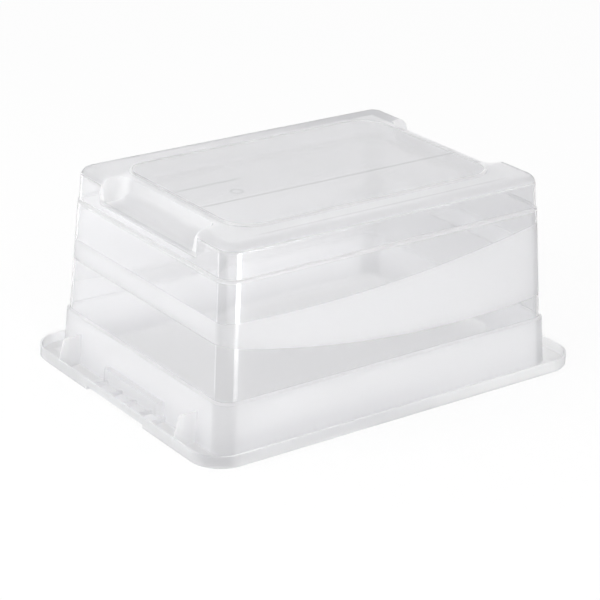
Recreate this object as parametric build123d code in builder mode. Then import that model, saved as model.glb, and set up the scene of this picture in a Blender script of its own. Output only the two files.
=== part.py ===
from build123d import *
import os
from math import radians, tan

os.makedirs("parts", exist_ok=True)

# A clear storage tub moulded in one piece, as it stands in the photograph: turned over, with its mouth
# down and its rim on z = 0. +X runs along the long side, and the origin is the middle of the mouth.
# Sizes are in millimetres.

# Rim: a flange round the mouth, with a skirt that stands up from its outer edge
rim_length = 400.0
rim_width = 296.0
rim_corner_radius = 30.0
rim_edge_bevel = 0.8
flange_thickness = 2.0
skirt_height = 11.2
skirt_thickness = 1.8
skirt_top_bevel = 0.4
end_overhang = 21.2
side_overhang = 16.7

# Walls, which draw in from the mouth to the base
wall_thickness = 1.8
wall_draft = 3.45
wall_corner_radius = 14.0
shoulder_height = 46.5
shoulder_step = 1.8
upper_step_height = 149.0
upper_step = 0.7
ledge_flat = 0.2
base_height = 179.0
base_edge_radius = 9.5

# Foot panel, raised on the base
foot_end_margin = 28.0
foot_side_margin = 25.5
foot_corner_radius = 28.0
foot_rise = 1.6
foot_slope = 27.0

# Finger scoops in the base edge of both short sides
scoop_width = 144.5
scoop_depth = 20.0
scoop_corner_radius = 12.0
scoop_lean = 12.0
scoop_ledge = 6.0
scoop_cove_radius = 13.0
scoop_rim_radius = 0.8

# Handles: on both short sides the wall bulges out above a notch in the rim, with webs behind the skirt
handle_width = 92.0
handle_bulge = 6.0
handle_height = 18.0
handle_corner_radius = 5.0
notch_depth = 4.0
web_count = 4
web_spacing = 23.5
web_thickness = 1.4
web_inner_height = 8.5

# Buttresses, which brace the rim on both sides of each handle
buttress_spacing = 186.0
buttress_height = 29.5
buttress_top_reach = 17.0
buttress_thickness = 1.8
buttress_corner_radius = 3.0

overshoot = 1.0
draft_slope = tan(radians(wall_draft))
mouth_length = rim_length - 2 * end_overhang
mouth_width = rim_width - 2 * side_overhang
skirt_middle = rim_length / 2 - skirt_thickness / 2
base_inset = base_height * draft_slope + shoulder_step + upper_step
foot_length = mouth_length - 2 * (base_inset + foot_end_margin)
foot_width = mouth_width - 2 * (base_inset + foot_side_margin)


def wall_face(z):
    """Give the half length of the outside of the band below the shoulder, at height z."""
    return mouth_length / 2 - z * draft_slope


def is_upright(edge):
    """Tell whether an edge runs up the part, rather than round it."""
    return edge.bounding_box().size.Z > overshoot


def drafted_block(low, high, length, width, corner_radius, draft):
    """Make a block from height low to high that draws in by draft degrees, with rounded corners."""
    with BuildPart() as block:
        with BuildSketch(Plane.XY.offset(low)):
            Rectangle(length, width)
        extrude(amount=high - low, taper=draft)
        fillet(block.edges().filter_by(is_upright), corner_radius)
    return block.part


def make_storeys(inset, drop):
    """Make the three storeys of the walls, moved in by inset, with their upper ends lowered by drop."""
    bottom = -overshoot if drop else 0
    ends = [bottom, shoulder_height - drop, upper_step_height - drop, base_height - drop]
    insets = [inset, inset + shoulder_step, inset + shoulder_step + upper_step]
    steps = [shoulder_step, upper_step, 0]
    storeys = []
    for low, high, storey_inset, step in zip(ends, ends[1:], insets, steps):
        shrink = 2 * (low * draft_slope + storey_inset)
        block = drafted_block(
            low, high, mouth_length - shrink, mouth_width - shrink, wall_corner_radius - inset, wall_draft)
        with BuildPart() as storey:
            add(block)
            if step:
                chamfer(storey.faces().sort_by(Axis.Z)[-1].edges(), step - ledge_flat)
        storeys.append(storey.part)
    return storeys


def make_scoops(grow):
    """Make the spaces that both finger scoops take, with every face moved into the box by grow."""
    top = base_height + overshoot
    floor = base_height - scoop_depth - grow
    back = foot_length / 2 + scoop_ledge - grow
    front = rim_length / 2
    lean_slope = tan(radians(scoop_lean))
    spread = 2 * overshoot * lean_slope
    block = drafted_block(
        -top, -floor, front - back + spread, scoop_width + 2 * grow + spread,
        scoop_corner_radius + grow, scoop_lean)
    turned_block = mirror(block, Plane.XY)
    with BuildPart() as scoop:
        with Locations(((back + front) / 2, 0, 0)):
            add(turned_block)
        with BuildSketch(Plane.XZ) as profile:
            with BuildLine():
                Polyline(
                    (front, top),
                    (back - overshoot * lean_slope, top),
                    (back + (base_height - floor) * lean_slope, floor),
                    (front, floor),
                    close=True,
                )
            make_face()
            fillet(profile.vertices().sort_by_distance((back, floor))[0], scoop_cove_radius + grow)
        extrude(amount=scoop_width, both=True, mode=Mode.INTERSECT)
    return [scoop.part, mirror(scoop.part, Plane.YZ)]


def on_scoop_rim(edge):
    """Tell whether an edge belongs to the open rim of a finger scoop, on the base or on the end wall."""
    middle = edge.center()
    on_base = middle.Z > base_height - base_edge_radius
    on_wall = abs(middle.X) > wall_face(middle.Z) - shoulder_step - upper_step - overshoot
    in_width = abs(middle.Y) < scoop_width / 2 + overshoot
    in_reach = abs(middle.X) > foot_length / 2 + overshoot
    above_floor = middle.Z > base_height - scoop_depth - overshoot
    return in_width and in_reach and above_floor and (on_base or on_wall)


def make_foot(inset):
    """Make the foot panel, with every face moved in by inset."""
    low = base_height - inset - overshoot
    spread = 2 * overshoot * tan(radians(foot_slope))
    return drafted_block(
        low, base_height - inset + foot_rise, foot_length - 2 * inset + spread,
        foot_width - 2 * inset + spread, foot_corner_radius - inset, foot_slope)


def make_handles(low, inset):
    """Make both handle bulges from height low as one block that spans the tub, moved in by inset."""
    length = 2 * (wall_face(low) + handle_bulge - inset)
    width = handle_width - 2 * inset
    return drafted_block(
        low, handle_height - inset, length, width, handle_corner_radius - inset, wall_draft)


outer_storeys = make_storeys(0, 0)
inner_storeys = make_storeys(wall_thickness, wall_thickness)
outer_scoops = make_scoops(0)
inner_scoops = make_scoops(wall_thickness)
outer_foot = make_foot(0)
inner_foot = make_foot(wall_thickness)
outer_handles = make_handles(0, 0)
inner_handles = make_handles(-overshoot, wall_thickness)

# The walls and base as a solid block, with the scoops cut out and the foot panel on top
with BuildPart() as walls:
    for storey in outer_storeys:
        add(storey)
    fillet(walls.faces().sort_by(Axis.Z)[-1].edges(), base_edge_radius)
    for scoop in outer_scoops:
        add(scoop, mode=Mode.SUBTRACT)
    fillet(walls.edges().filter_by(on_scoop_rim), scoop_rim_radius)
    add(outer_foot)

# The hollow inside, one wall thickness away from the outside everywhere
with BuildPart() as hollow:
    for storey in inner_storeys:
        add(storey)
    fillet(hollow.faces().sort_by(Axis.Z)[-1].edges(), base_edge_radius - wall_thickness)
    for scoop in inner_scoops:
        add(scoop, mode=Mode.SUBTRACT)
    add(inner_foot)
    add(inner_handles)

with BuildPart() as storage_tub:
    # Rim: a block with the trough between skirt and walls sunk into it
    with BuildSketch(Plane.XY):
        RectangleRounded(rim_length, rim_width, rim_corner_radius)
    extrude(amount=skirt_height)
    chamfer(storage_tub.faces().sort_by(Axis.Z)[0].edges(), rim_edge_bevel)
    with BuildSketch(Plane.XY.offset(flange_thickness)):
        RectangleRounded(
            rim_length - 2 * skirt_thickness,
            rim_width - 2 * skirt_thickness,
            rim_corner_radius - skirt_thickness,
        )
    extrude(amount=skirt_height, mode=Mode.SUBTRACT)
    chamfer(storage_tub.faces().sort_by(Axis.Z)[-1].edges(), skirt_top_bevel)
    add(walls.part)
    # Handles: the bulges, the flange raised over the notch, and the webs from bulge to skirt
    add(outer_handles)
    with BuildSketch(Plane.XY):
        Rectangle(2 * skirt_middle, handle_width + 2 * flange_thickness)
    extrude(amount=notch_depth + flange_thickness)
    for index in range(web_count):
        web_y = (index - (web_count - 1) / 2) * web_spacing
        for side in (-1, 1):
            bulge_face = side * (wall_face(web_inner_height) + handle_bulge - wall_thickness / 2)
            with BuildSketch(Plane.XZ.offset(web_y)):
                with BuildLine():
                    Polyline(
                        (bulge_face, notch_depth + flange_thickness / 2),
                        (bulge_face, web_inner_height),
                        (side * skirt_middle, skirt_height - skirt_top_bevel),
                        (side * skirt_middle, notch_depth + flange_thickness / 2),
                        close=True,
                    )
                make_face()
            extrude(amount=web_thickness / 2, both=True)
    # Buttresses: upright plates from the end wall to the skirt
    for buttress_y in (-buttress_spacing / 2, buttress_spacing / 2):
        for side in (-1, 1):
            wall_x = side * (wall_face(buttress_height) - wall_thickness / 2)
            top_x = side * (wall_face(buttress_height) + buttress_top_reach)
            with BuildSketch(Plane.XZ.offset(buttress_y)) as plate:
                with BuildLine():
                    Polyline(
                        (wall_x, flange_thickness / 2),
                        (wall_x, buttress_height),
                        (top_x, buttress_height),
                        (side * skirt_middle, skirt_height - skirt_top_bevel),
                        (side * skirt_middle, flange_thickness / 2),
                        close=True,
                    )
                make_face()
                top_corner = plate.vertices().sort_by_distance((top_x, buttress_height))[0]
                fillet(top_corner, buttress_corner_radius)
            extrude(amount=buttress_thickness / 2, both=True)
    # Lift notches in the mouth, under both handles
    with BuildSketch(Plane.XY.offset(-overshoot)):
        Rectangle(rim_length + 2 * overshoot, handle_width)
    extrude(amount=notch_depth + overshoot, mode=Mode.SUBTRACT)
    add(hollow.part, mode=Mode.SUBTRACT)

storage_tub.part.label = "storage_tub"
export_step(storage_tub.part, "parts/storage_tub.step")
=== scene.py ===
from math import cos, radians, sin, tan

import bpy
from mathutils import Matrix, Vector


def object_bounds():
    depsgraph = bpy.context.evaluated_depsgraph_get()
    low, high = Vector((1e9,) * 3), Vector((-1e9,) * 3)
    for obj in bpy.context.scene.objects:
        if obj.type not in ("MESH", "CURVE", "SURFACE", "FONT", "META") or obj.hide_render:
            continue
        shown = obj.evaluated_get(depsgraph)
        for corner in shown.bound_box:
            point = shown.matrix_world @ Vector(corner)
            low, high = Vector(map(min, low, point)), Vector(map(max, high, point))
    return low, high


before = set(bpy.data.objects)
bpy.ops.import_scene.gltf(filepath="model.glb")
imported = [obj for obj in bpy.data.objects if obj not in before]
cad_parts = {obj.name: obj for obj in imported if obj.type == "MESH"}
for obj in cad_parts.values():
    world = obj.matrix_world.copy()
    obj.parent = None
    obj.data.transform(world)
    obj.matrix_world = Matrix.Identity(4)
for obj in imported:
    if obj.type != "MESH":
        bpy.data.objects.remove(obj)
cad_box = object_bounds()
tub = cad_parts["storage_tub"]

# Sizes of the tub that the finish follows, in millimetres. The outermost ones come from the bounds of
# model.glb
MM_PER_METRE = 1000.0
rim_half_length, rim_half_width, foot_top = (MM_PER_METRE * size for size in cad_box[1])
END_OVERHANG = 21.2
SIDE_OVERHANG = 16.7
SKIRT_HEIGHT = 11.2
BUTTRESS_MIDDLE = 93.0
WALL_DRAFT = 3.45
WALL_CORNER_RADIUS = 14.0
SHOULDER_HEIGHT = 46.5
UPPER_STEP_HEIGHT = 149.0
BOTH_STEPS = 2.5
SCOOP_HALF_WIDTH = 72.25
SCOOP_DEPTH = 20.0
BASE_LINE_INSET = 12.3
FOOT_END_MARGIN = 28.0
FOOT_SIDE_MARGIN = 25.5
FOOT_CORNER_RADIUS = 28.0
FOOT_RISE = 1.6

draft_slope = tan(radians(WALL_DRAFT))
mouth_half_length = rim_half_length - END_OVERHANG
mouth_half_width = rim_half_width - SIDE_OVERHANG
base_height = foot_top - FOOT_RISE
base_inset = base_height * draft_slope + BOTH_STEPS
foot_half_length = mouth_half_length - base_inset - FOOT_END_MARGIN
foot_half_width = mouth_half_width - base_inset - FOOT_SIDE_MARGIN
scoop_floor = base_height - SCOOP_DEPTH

# The frosted wave on the long walls lies between two parabolas, and the band on the end walls is straight
WAVE_TOP = 115.0
WAVE_TOP_TILT = 0.068
WAVE_TOP_BEND = 0.00036
WAVE_BOTTOM = 63.8
WAVE_BOTTOM_MIDDLE = 75.0
WAVE_BOTTOM_BEND = 0.000515
END_BAND_TOP = 112.8
END_BAND_BOTTOM = 94.3
BAND_BLUR = 0.5

# Marks of the mould on the foot panel: two lines along it, and the ring of the gate
LONG_LINE_Y = -34.0
SHORT_LINE_Y = 9.0
SHORT_LINE_END = -75.0
GATE_X = -88.0
GATE_Y = -17.0
GATE_RADIUS = 5.0


def cool_grey(level, blue=0.01):
    """Give a grey with a little more blue, which is the cast of natural polypropylene."""
    return (level, level, level + blue, 1.0)


WHITE = (1.0, 1.0, 1.0, 1.0)
FLOOR_GREY = (0.93, 0.93, 0.93, 1.0)
CLEAR = cool_grey(0.86, 0.012)
CLEAR_CORNER_SHADE = cool_grey(0.80, 0.012)
FROSTED = cool_grey(0.985, 0.005)
RIM_SHADE = cool_grey(0.90, 0.007)
LOW_WALL_SHADE = cool_grey(0.87)
RIM_CORNER_SHADE = cool_grey(0.78)
RIM_FOOT_SHADE = cool_grey(0.62)
MOULD_MARK_AND_EDGE_SHADE = cool_grey(0.55)
SEEN_EDGE_ON = cool_grey(0.50, 0.015)
GLOW_THROUGH = cool_grey(0.97)

# How far each hazy part scatters light, and how strong each painted highlight is, from 0 to 1
LEDGE_HAZE = 0.9
SCOOP_HAZE = 0.65
SCOOP_END_HAZE = 0.85
SLOPE_HAZE = 0.85
MARGIN_HAZE = 0.65
LIP_HIGHLIGHT = 0.5
RIM_SHEEN = 0.15
BUTTRESS_HIGHLIGHT = 0.3
SCOOP_BACK_HIGHLIGHT = 0.5
SLOPE_HIGHLIGHT = 0.9
UPPER_STEP_HIGHLIGHT = 0.7
CORNER_POLISH = 0.6

# How polished, frosted and white plastic take the light. Scales are per millimetre, the depth is in metres
REFRACTION_INDEX = 1.49
POLISHED_ROUGHNESS = 0.05
CLOUDED_ROUGHNESS = 0.12
DULL_ROUGHNESS = 0.6
POLISHED_TRANSMISSION = 0.9
FROSTED_TRANSMISSION = 0.75
RIM_TRANSMISSION = 0.85
HIGHLIGHT_TRANSMISSION = 0.3
WALL_GLOW_SHARE = 0.36
RIM_GLOW_SHARE = 0.1
CLOUD_SCALE = 0.02
GRAIN_SCALE = 2.4
GRAIN_STRENGTH = 0.25
GRAIN_DEPTH = 0.0001


class Graph:
    """Builds the nodes of a material or world from short calls. A mask is a value from 0 to 1."""

    def __init__(self, owner):
        self.nodes = owner.node_tree.nodes
        self.links = owner.node_tree.links

    def put(self, kind, **settings):
        """Add a node with the given settings."""
        node = self.nodes.new(kind)
        for name, value in settings.items():
            setattr(node, name, value)
        return node

    def feed(self, socket, value):
        """Give a socket its value: another node's output or a constant."""
        if isinstance(value, bpy.types.NodeSocket):
            self.links.new(value, socket)
        else:
            socket.default_value = value

    def math(self, operation, *values):
        node = self.put("ShaderNodeMath", operation=operation)
        for socket, value in zip(node.inputs, values):
            self.feed(socket, value)
        return node.outputs[0]

    def fold(self, operation, values):
        """Join two or more values by one operation."""
        result = values[0]
        for value in values[1:]:
            result = self.math(operation, result, value)
        return result

    def add(self, *values):
        return self.fold("ADD", values)

    def times(self, *values):
        return self.fold("MULTIPLY", values)

    def most(self, *values):
        return self.fold("MAXIMUM", values)

    def minus(self, value, other):
        return self.math("SUBTRACT", value, other)

    def size_of(self, value):
        return self.math("ABSOLUTE", value)

    def length(self, a, b):
        return self.math("SQRT", self.add(self.times(a, a), self.times(b, b)))

    def ramp(self, value, low, high, at_low, at_high):
        """Go smoothly from at_low, where the value is low, to at_high, where it is high."""
        node = self.put("ShaderNodeMapRange", interpolation_type="SMOOTHSTEP")
        for socket, number in zip(node.inputs, (value, low, high, at_low, at_high)):
            self.feed(socket, number)
        return node.outputs[0]

    def above(self, value, start, fade, amount=1.0):
        """Mask with a soft edge: nothing up to start, and the full amount once the fade is over."""
        return self.ramp(value, start, start + fade, 0.0, amount)

    def below(self, value, start, fade, amount=1.0):
        """Mask with a soft edge: the full amount up to start, and nothing once the fade is over."""
        return self.ramp(value, start, start + fade, amount, 0.0)

    def near(self, value, middle, half_width, fade, amount=1.0):
        """Mask a stripe round a middle value. The fade lies outside its half width."""
        return self.below(self.size_of(self.minus(value, middle)), half_width, fade, amount)

    def mix(self, factor, a, b):
        node = self.put("ShaderNodeMix", data_type="FLOAT")
        for socket, value in zip((node.inputs[0], node.inputs[2], node.inputs[3]), (factor, a, b)):
            self.feed(socket, value)
        return node.outputs[0]

    def mix_colour(self, factor, a, b):
        node = self.put("ShaderNodeMix", data_type="RGBA")
        for socket, value in zip((node.inputs[0], node.inputs[6], node.inputs[7]), (factor, a, b)):
            self.feed(socket, value)
        return node.outputs[2]

    def noise(self, vector, scale, detail=2.0):
        node = self.put("ShaderNodeTexNoise")
        self.feed(node.inputs["Vector"], vector)
        node.inputs["Scale"].default_value = scale
        node.inputs["Detail"].default_value = detail
        return node.outputs["Fac"]

    def mix_shader(self, factor, a, b):
        """Mix two shaders and show the result as the material's surface."""
        node = self.put("ShaderNodeMixShader")
        for socket, value in zip(node.inputs, (factor, a, b)):
            self.feed(socket, value)
        self.feed(self.nodes["Material Output"].inputs["Surface"], node.outputs[0])


class TubPlace:
    """Tells where a shaded point lies on the tub, in millimetres, and which part it belongs to."""

    def __init__(self, g):
        scaled = g.put("ShaderNodeVectorMath", operation="SCALE")
        g.feed(scaled.inputs[0], g.put("ShaderNodeTexCoord").outputs["Object"])
        scaled.inputs["Scale"].default_value = MM_PER_METRE
        self.point = scaled.outputs[0]
        axes = g.put("ShaderNodeSeparateXYZ")
        g.feed(axes.inputs[0], self.point)
        self.x, self.y, self.z = axes.outputs
        self.off_x = g.size_of(self.x)
        self.off_y = g.size_of(self.y)

        # How far the point lies in from the outside of the end wall and of the long wall
        draw_in = g.times(self.z, draft_slope)
        self.from_end = g.minus(g.minus(mouth_half_length, draw_in), self.off_x)
        self.from_side = g.minus(g.minus(mouth_half_width, draw_in), self.off_y)
        self.from_nearest = g.math("MINIMUM", self.from_end, self.from_side)
        self.from_other = g.most(self.from_end, self.from_side)
        self.on_long_wall = g.math("LESS_THAN", self.from_side, self.from_end)
        self.on_walls = g.above(self.from_nearest, -4.0, fade=2.0)
        self.on_rim = g.below(self.from_nearest, -2.5, fade=1.5)
        self.in_corner = g.below(self.from_other, WALL_CORNER_RADIUS - 1.0, fade=5.0)

        # How far it lies outside the foot panel, which is a rectangle with rounded corners
        across_x = g.most(g.minus(self.off_x, foot_half_length - FOOT_CORNER_RADIUS), 0.0)
        self.across_y = g.most(g.minus(self.off_y, foot_half_width - FOOT_CORNER_RADIUS), 0.0)
        self.past_foot = g.minus(g.length(across_x, self.across_y), FOOT_CORNER_RADIUS)

        self.in_scoop = g.times(
            g.above(self.off_x, foot_half_length + 3.0, fade=2.0),
            g.below(self.off_y, SCOOP_HALF_WIDTH + 1.75, fade=1.5),
            g.above(self.z, scoop_floor - 4.0, fade=2.5))


def frost_mask(g, at):
    """Mask the frosted wave and bands, which are weaker on the polished upright corners of the walls."""
    # The wave on the far wall is the near one turned half a turn about Z
    along = g.times(at.x, g.math("SIGN", at.y), -1.0)
    wave_top = g.add(WAVE_TOP, g.times(along, WAVE_TOP_TILT), g.times(along, along, WAVE_TOP_BEND))
    offset = g.minus(along, WAVE_BOTTOM_MIDDLE)
    wave_bottom = g.add(WAVE_BOTTOM, g.times(offset, offset, WAVE_BOTTOM_BEND))
    band_top = g.mix(at.on_long_wall, END_BAND_TOP, wave_top)
    band_bottom = g.mix(at.on_long_wall, END_BAND_BOTTOM, wave_bottom)
    band = g.times(
        g.above(g.minus(at.z, band_bottom), -BAND_BLUR / 2, fade=BAND_BLUR),
        g.above(g.minus(band_top, at.z), -BAND_BLUR / 2, fade=BAND_BLUR))
    # Everything below the shoulder is frosted too: the band round the mouth, and the rim
    low_band = g.below(at.z, SHOULDER_HEIGHT - 1.9, fade=0.6)
    polished = g.times(at.in_corner, at.on_walls, CORNER_POLISH)
    return g.times(g.most(band, low_band), g.minus(1.0, polished))


def haze_and_highlight_masks(g, at):
    """Mask what else scatters light: all of it, and as a second mask the painted highlights, which show
    white.
    """
    # The ledges of the two steps in the walls
    shoulder = g.near(at.z, SHOULDER_HEIGHT - 0.8, half_width=0.8, fade=0.3, amount=0.7)
    upper_step = g.near(at.z, UPPER_STEP_HEIGHT - 0.9, half_width=1.5, fade=0.6, amount=0.75)
    ledges = g.times(g.most(shoulder, upper_step), at.on_walls)
    # The upper back and the ends of the finger scoops, which carry painted highlights
    scoop_back = g.times(at.in_scoop, g.above(at.z, scoop_floor + 6.0, fade=5.0))
    scoop_end = g.times(at.in_scoop, g.above(at.off_y, SCOOP_HALF_WIDTH - 14.25, fade=6.0))
    # The slope round the foot panel, with painted highlights along the long sides and at the far end, and
    # the margin between panel and walls
    slope = g.times(
        g.above(at.z, base_height - 5.0, fade=2.0),
        g.near(at.past_foot, 0.0, half_width=1.0, fade=0.6))
    long_sides = g.above(at.across_y, 2.0, fade=8.0)
    far_end = g.above(at.x, foot_half_length - 27.5, fade=20.0)
    painted_slope_highlight = g.times(slope, g.most(long_sides, far_end))
    margin = g.times(
        g.above(at.z, base_height - 13.0, fade=12.5, amount=MARGIN_HAZE),
        g.above(at.past_foot, 1.0, fade=1.0))
    # Painted highlights on the skirt's upper edge along the long sides and on the buttresses' edges, and a
    # painted sheen on the rim towards the right
    lip_highlight = g.times(
        g.below(at.from_side, -13.5, fade=3.5, amount=LIP_HIGHLIGHT),
        g.above(at.z, SKIRT_HEIGHT - 0.7, fade=0.2))
    painted_rim_sheen = g.times(at.on_rim, g.above(at.x, -60.0, fade=100.0, amount=RIM_SHEEN))
    buttress_highlight = g.times(
        g.below(at.from_end, -1.5, fade=1.0),
        g.near(at.off_y, BUTTRESS_MIDDLE, half_width=1.2, fade=0.6),
        g.above(at.z, 2.5, fade=2.5))

    haze = g.most(
        g.times(ledges, LEDGE_HAZE),
        g.times(at.in_scoop, SCOOP_HAZE),
        g.times(scoop_end, SCOOP_END_HAZE),
        g.times(slope, SLOPE_HAZE),
        margin)
    # Painted highlights, which the colour shows as white
    white = g.most(
        lip_highlight,
        painted_rim_sheen,
        g.times(buttress_highlight, BUTTRESS_HIGHLIGHT),
        g.times(scoop_back, SCOOP_BACK_HIGHLIGHT),
        scoop_end,
        g.times(painted_slope_highlight, SLOPE_HIGHLIGHT),
        g.times(upper_step, UPPER_STEP_HIGHLIGHT))
    return haze, white


def line_mask(g, at):
    """Mask the thin dark lines: painted shade lines along the base and on the scoops' front edge, and the
    mould marks on the foot panel.
    """
    # Painted shade line along the long sides of the base
    painted_base_line = g.times(
        g.above(at.z, base_height - 3.0, fade=1.5),
        g.near(at.from_nearest, BASE_LINE_INSET, half_width=0.8, fade=1.0, amount=0.5),
        at.on_long_wall,
        g.above(at.from_other, 25.0, fade=35.0))
    # Painted shade on the scoops' front edge
    scoop_edge_shade = g.times(
        at.in_scoop,
        g.below(at.from_end, 3.4, fade=1.0, amount=0.6),
        g.below(at.z, scoop_floor + 1.0, fade=1.0))
    long_line = g.near(at.y, LONG_LINE_Y, half_width=0.7, fade=0.8, amount=0.55)
    short_line = g.times(
        g.near(at.y, SHORT_LINE_Y, half_width=0.8, fade=1.4, amount=0.4),
        g.below(at.x, SHORT_LINE_END, fade=15.0))
    from_gate = g.length(g.minus(at.x, GATE_X), g.minus(at.y, GATE_Y))
    gate_ring = g.near(from_gate, GATE_RADIUS, half_width=0.4, fade=1.3, amount=0.42)
    on_foot = g.times(g.above(at.z, base_height - 1.0, fade=1.0), g.below(at.past_foot, -2.0, fade=1.0))
    return g.most(painted_base_line, scoop_edge_shade, g.times(g.most(gate_ring, long_line, short_line), on_foot))


def edge_mask(g, at):
    """Mask faces seen edge-on, where the colour is darkened as painted shade for the dark look of clear
    plastic, most of all along the base edge.
    """
    grazing = g.put("ShaderNodeLayerWeight")
    grazing.inputs["Blend"].default_value = 0.5
    facing = grazing.outputs["Facing"]
    base_edge = g.times(
        g.above(at.z, base_height - 11.0, fade=4.0),
        g.below(at.from_nearest, 22.0, fade=4.0))
    return g.most(
        g.above(facing, 0.74, fade=0.26, amount=0.8),
        g.times(base_edge, g.above(facing, 0.682, fade=0.018, amount=0.88)))


def frosted_colour(g, at, white):
    """Colour the frosted and hazy parts, with painted shade on the rim towards the left, just above the
    rim, at its corners and at its foot, and painted highlights in white.
    """
    # Painted shade on the rim, lifted at the ends and towards the right
    rim_painted_light = g.most(
        g.ramp(at.x, -60.0, 100.0, at_low=0.3, at_high=1.0),
        g.below(at.from_end, -14.0, fade=4.0))
    colour = g.mix_colour(at.on_rim, FROSTED, g.mix_colour(rim_painted_light, RIM_SHADE, WHITE))
    # Painted shade low on the walls just above the rim, fading towards the right
    low_wall_shade = g.times(
        g.below(at.z, 10.0, fade=14.0, amount=0.6),
        g.ramp(at.x, -40.0, 110.0, at_low=1.0, at_high=0.1))
    colour = g.mix_colour(low_wall_shade, colour, LOW_WALL_SHADE)
    # Painted shade at the rim's corners
    rim_corner_shade = g.times(at.on_rim, g.below(at.from_other, -4.0, fade=16.0))
    colour = g.mix_colour(rim_corner_shade, colour, RIM_CORNER_SHADE)
    # Painted shade at the foot of the rim, along the floor
    rim_foot_shade = g.times(at.on_rim, g.below(at.z, 0.8, fade=2.0, amount=0.6))
    colour = g.mix_colour(rim_foot_shade, colour, RIM_FOOT_SHADE)
    # Painted highlights in white
    return g.mix_colour(white, colour, WHITE)


def clear_colour(g, at):
    """Colour the polished parts, with painted shade in the upright corners, left out at the top on the
    right.
    """
    unshaded_top_right = g.times(g.above(at.x, 60.0, fade=80.0), g.above(at.z, UPPER_STEP_HEIGHT, fade=4.0))
    corner_shade = g.times(at.in_corner, at.on_walls, g.minus(1.0, unshaded_top_right))
    return g.mix_colour(corner_shade, CLEAR, CLEAR_CORNER_SHADE)


def plastic():
    """Natural polypropylene: glossy where the mould is polished, frosted where it is textured, with
    painted shade and painted highlights in its colour.
    """
    material = bpy.data.materials.new("natural_polypropylene")
    material.use_nodes = True
    g = Graph(material)
    at = TubPlace(g)
    frost = frost_mask(g, at)
    haze, white = haze_and_highlight_masks(g, at)
    dull = g.most(frost, haze)
    colour = g.mix_colour(dull, clear_colour(g, at), frosted_colour(g, at, white))
    # The dark lines, painted shade and mould marks, and painted shade on faces seen edge-on
    colour = g.mix_colour(line_mask(g, at), colour, MOULD_MARK_AND_EDGE_SHADE)
    colour = g.mix_colour(edge_mask(g, at), colour, SEEN_EDGE_ON)
    cloud = g.noise(at.point, CLOUD_SCALE)
    grain = g.noise(at.point, GRAIN_SCALE)

    shader = g.nodes["Principled BSDF"]
    shader.inputs["IOR"].default_value = REFRACTION_INDEX
    g.feed(shader.inputs["Base Color"], colour)
    polished_roughness = g.mix(cloud, POLISHED_ROUGHNESS, CLOUDED_ROUGHNESS)
    g.feed(shader.inputs["Roughness"], g.mix(dull, polished_roughness, DULL_ROUGHNESS))
    frosted_transmission = g.mix(at.on_rim, FROSTED_TRANSMISSION, RIM_TRANSMISSION)
    # The painted highlights let less light through
    dull_transmission = g.mix(white, frosted_transmission, HIGHLIGHT_TRANSMISSION)
    g.feed(shader.inputs["Transmission Weight"], g.mix(dull, POLISHED_TRANSMISSION, dull_transmission))
    bump = g.put("ShaderNodeBump")
    bump.inputs["Strength"].default_value = GRAIN_STRENGTH
    bump.inputs["Distance"].default_value = GRAIN_DEPTH
    g.feed(bump.inputs["Height"], g.times(grain, frost))
    g.feed(shader.inputs["Normal"], bump.outputs[0])
    # Frosted and hazy plastic also glows with the light that falls on its other side
    translucent = g.put("ShaderNodeBsdfTranslucent")
    translucent.inputs["Color"].default_value = GLOW_THROUGH
    glow_share = g.times(dull, g.mix(at.on_rim, WALL_GLOW_SHARE, RIM_GLOW_SHARE))
    g.mix_shader(glow_share, shader.outputs[0], translucent.outputs[0])
    return material


# Places on the floor, in metres: under the tub's near corner, and the edge of the mouth
NEAR_CORNER_X = -0.165
NEAR_CORNER_Y = -0.118
MOUTH_X = 0.174
MOUTH_Y = 0.126

# How far the floor and the world shine by themselves, so that they show white round the tub
FLOOR_SHINE = 0.85
FLOOR_SHINE_THROUGH = 0.65
FLOOR_SHINE_UNDER_TUB = 0.3
WORLD_LIGHT = 0.85
WORLD_SHINE = 1.0


def mirrored_light(g, x, y):
    """Make the floor glow where the walls mirror it, as painted reflections of light: in front, behind on
    the left, and in two fans.
    """
    front = g.times(
        g.ramp(y, -0.30, -0.62, at_low=0.0, at_high=3.2),
        g.below(x, 0.2, fade=0.25))
    back_left = g.times(
        g.add(g.above(y, 0.08, fade=0.18, amount=0.75), g.above(y, 0.35, fade=0.25, amount=1.2)),
        g.ramp(x, -0.2, -0.3, at_low=0.0, at_high=1.0))

    # Both fans open away from the near corner. Bearings run from -Y towards +X
    off_x, off_y = g.minus(x, NEAR_CORNER_X), g.minus(y, NEAR_CORNER_Y)
    reach = g.length(off_x, off_y)
    bearing = g.math("ARCTAN2", off_x, g.times(off_y, -1.0))
    outside = g.above(reach, 0.13, fade=0.04)

    def fan(middle, half_angle, blur):
        """Mask a fan, with its angles in degrees."""
        half_width = radians(half_angle - blur)
        return g.times(g.near(bearing, radians(middle), half_width, fade=radians(2 * blur)), outside)

    front_fan = g.times(fan(17.0, 14.0, 5.0), g.ramp(reach, 0.22, 0.45, at_low=5.5, at_high=18.0))
    left_fan = g.times(fan(-129.0, 4.0, 3.0), 3.0)
    return g.add(front, back_left, front_fan, left_fan)


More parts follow.
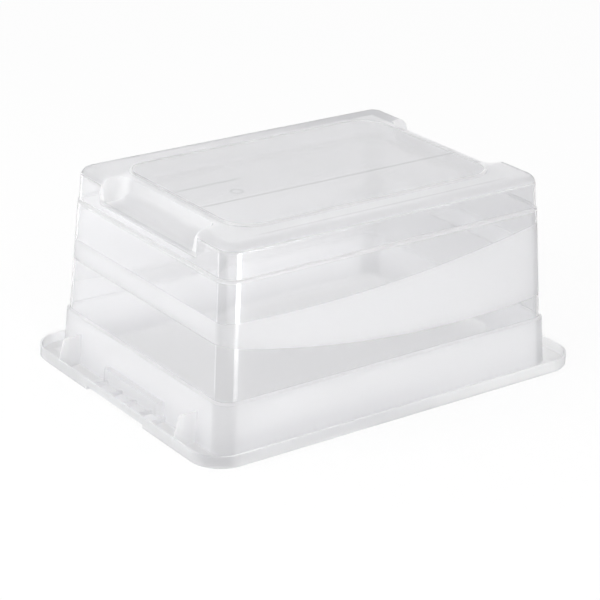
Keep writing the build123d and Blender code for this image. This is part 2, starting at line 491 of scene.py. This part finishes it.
def floor_finish():
    """Pale floor that shows white and keeps the tub's shadow."""
    material = bpy.data.materials.new("studio_floor")
    material.use_nodes = True
    g = Graph(material)
    shader = g.nodes["Principled BSDF"]
    shader.inputs["Base Color"].default_value = FLOOR_GREY
    shader.inputs["Roughness"].default_value = 0.9
    shader.inputs["Specular IOR Level"].default_value = 0.1
    axes = g.put("ShaderNodeSeparateXYZ")
    g.feed(axes.inputs[0], g.put("ShaderNodeTexCoord").outputs["Object"])
    x, y, _ = axes.outputs
    path = g.put("ShaderNodeLightPath")
    passing = path.outputs["Is Transmission Ray"]
    mirrored = g.times(path.outputs["Is Glossy Ray"], g.minus(1.0, passing))

    # The floor's own shine reaches the rays that see it straight, mirrored or through the plastic
    under_tub = g.times(
        g.below(g.size_of(x), MOUTH_X, fade=0.008),
        g.below(g.size_of(y), MOUTH_Y, fade=0.009))
    seen_through = g.times(passing, g.mix(under_tub, FLOOR_SHINE_THROUGH, FLOOR_SHINE_UNDER_TUB))
    shine = g.most(g.times(path.outputs["Is Camera Ray"], FLOOR_SHINE), mirrored, seen_through)

    # Painted glow on the floor behind the tub for rays through the plastic, and the painted reflections
    # for mirrored rays
    glow_behind_tub = g.times(
        g.above(y, 0.13, fade=0.03, amount=0.35),
        g.ramp(x, 0.0, -0.08, at_low=0.0, at_high=1.0))
    glow = g.put("ShaderNodeEmission")
    glow.inputs["Color"].default_value = WHITE
    strength = g.add(1.0, g.times(passing, glow_behind_tub), g.times(mirrored, mirrored_light(g, x, y)))
    g.feed(glow.inputs["Strength"], strength)
    g.mix_shader(shine, shader.outputs[0], glow.outputs[0])
    return material


def set_world():
    """White all round for the rays that show it, and a little weaker as a light."""
    world = bpy.data.worlds.new("studio")
    bpy.context.scene.world = world
    world.use_nodes = True
    g = Graph(world)
    path = g.put("ShaderNodeLightPath")
    seen = g.most(
        path.outputs["Is Camera Ray"], path.outputs["Is Glossy Ray"], path.outputs["Is Transmission Ray"])
    background = g.nodes["Background"]
    background.inputs["Color"].default_value = WHITE
    g.feed(background.inputs["Strength"], g.mix(seen, WORLD_LIGHT, WORLD_SHINE))


def direction(azimuth, elevation):
    """Give the direction from the tub to a place. Azimuth runs from the front, -Y, towards +X."""
    return Vector((sin(azimuth) * cos(elevation), -cos(azimuth) * cos(elevation), sin(elevation)))


TUB_MIDDLE = Vector((0, 0, 0.09))


def softbox(name, azimuth, elevation, distance, width, height, watts):
    """Put a soft lamp round the tub, turned towards its middle."""
    data = bpy.data.lights.new(name, "AREA")
    data.shape = "RECTANGLE"
    data.size = width
    data.size_y = height
    data.energy = watts
    lamp = bpy.data.objects.new(name, data)
    bpy.context.collection.objects.link(lamp)
    back = direction(radians(azimuth), radians(elevation))
    lamp.location = TUB_MIDDLE + back * distance
    lamp.rotation_euler = back.to_track_quat("Z", "Y").to_euler()
    return lamp


# The photograph's camera, as fitted to the rim, walls and base
CAMERA_AZIMUTH = -36.554
CAMERA_ELEVATION = 22.512
CAMERA_ROLL = 1.605
CAMERA_PLACE = Vector((-1.038767, -1.393135, 0.776013))
SENSOR_WIDTH = 36.0
PHOTO_PIXELS = 600
FOCAL_LENGTH_PIXELS = 2105.85


def set_camera():
    """Put the camera where the photograph was taken from."""
    roll = radians(CAMERA_ROLL)
    back = direction(radians(CAMERA_AZIMUTH), radians(CAMERA_ELEVATION))
    right = (-back).cross(Vector((0, 0, 1))).normalized()
    up = right.cross(-back)
    rolled_right = cos(roll) * right + sin(roll) * up
    rolled_up = -sin(roll) * right + cos(roll) * up
    data = bpy.data.cameras.new("photo_camera")
    data.sensor_width = SENSOR_WIDTH
    data.lens = FOCAL_LENGTH_PIXELS / PHOTO_PIXELS * SENSOR_WIDTH
    data.clip_start = 0.01
    data.clip_end = 50.0
    camera = bpy.data.objects.new("photo_camera", data)
    bpy.context.collection.objects.link(camera)
    turn = Matrix((rolled_right, rolled_up, back)).transposed().to_4x4()
    camera.matrix_world = Matrix.Translation(CAMERA_PLACE) @ turn
    bpy.context.scene.camera = camera


tub.data.materials.clear()
tub.data.materials.append(plastic())

bpy.ops.mesh.primitive_plane_add(size=12.0, location=(0, 0, 0))
floor = bpy.context.object
floor.name = "floor"
floor.data.materials.append(floor_finish())

set_world()
softbox("left_softbox", azimuth=-100.0, elevation=25.0, distance=1.6, width=0.9, height=0.7, watts=8.0)
softbox("front_softbox", azimuth=-10.0, elevation=35.0, distance=1.8, width=0.9, height=0.7, watts=6.0)
# Two lamps that only the glossy faces show, for the highlights along the edges
strips = (
    softbox("front_strip", azimuth=38.0, elevation=12.0, distance=1.5, width=1.5, height=0.7, watts=7.0),
    softbox("back_strip", azimuth=142.0, elevation=42.0, distance=1.5, width=0.9, height=0.25, watts=4.0),
)
for strip in strips:
    strip.visible_diffuse = False
    strip.visible_transmission = False
set_camera()

scene = bpy.context.scene
scene.view_settings.view_transform = "Standard"
scene.cycles.max_bounces = 32
scene.cycles.transmission_bounces = 32
scene.cycles.glossy_bounces = 8
scene.cycles.diffuse_bounces = 6
